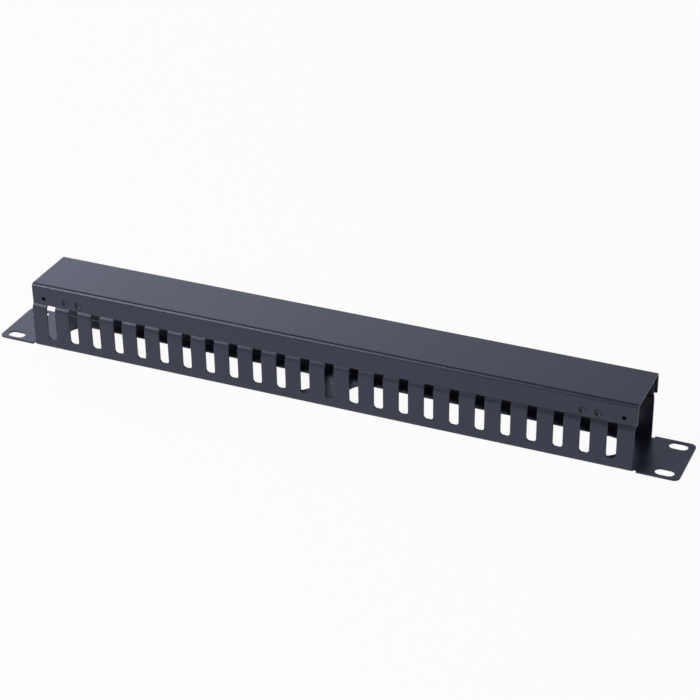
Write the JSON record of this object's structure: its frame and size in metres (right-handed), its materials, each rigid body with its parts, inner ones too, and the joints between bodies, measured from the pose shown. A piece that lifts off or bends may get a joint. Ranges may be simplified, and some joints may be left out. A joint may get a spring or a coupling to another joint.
{
  "type": "horizontal cable manager",
  "caption": "Rack-mount cable duct of black folded steel with a row of fingers along both sides, cable windows through its back, rack ears and a lift-off cover.",
  "frame": {"origin": "centre of the base plate's back face, midway between the rack ears; the manager lies on its back", "axes": "+X along the length, across the rack; +Y from one slotted wall square across to the other; +Z is square to the base plate, towards the front of the rack, the way the cover lifts off"},
  "size_m": [0.4826, 0.0442, 0.048],
  "materials": {
    "black_powder_coat": "satin, fine-textured powder coat"
  },
  "bodies": {
    "duct_body": {"duct_body": "black_powder_coat"},
    "cover": {"cover": "black_powder_coat"}
  },
  "joints": [
    {"name": "cover_lift", "type": "slide", "parent": "duct_body", "child": "cover", "axis": [0, 0, 1], "range_m": [0, 0.03]}
  ]
}
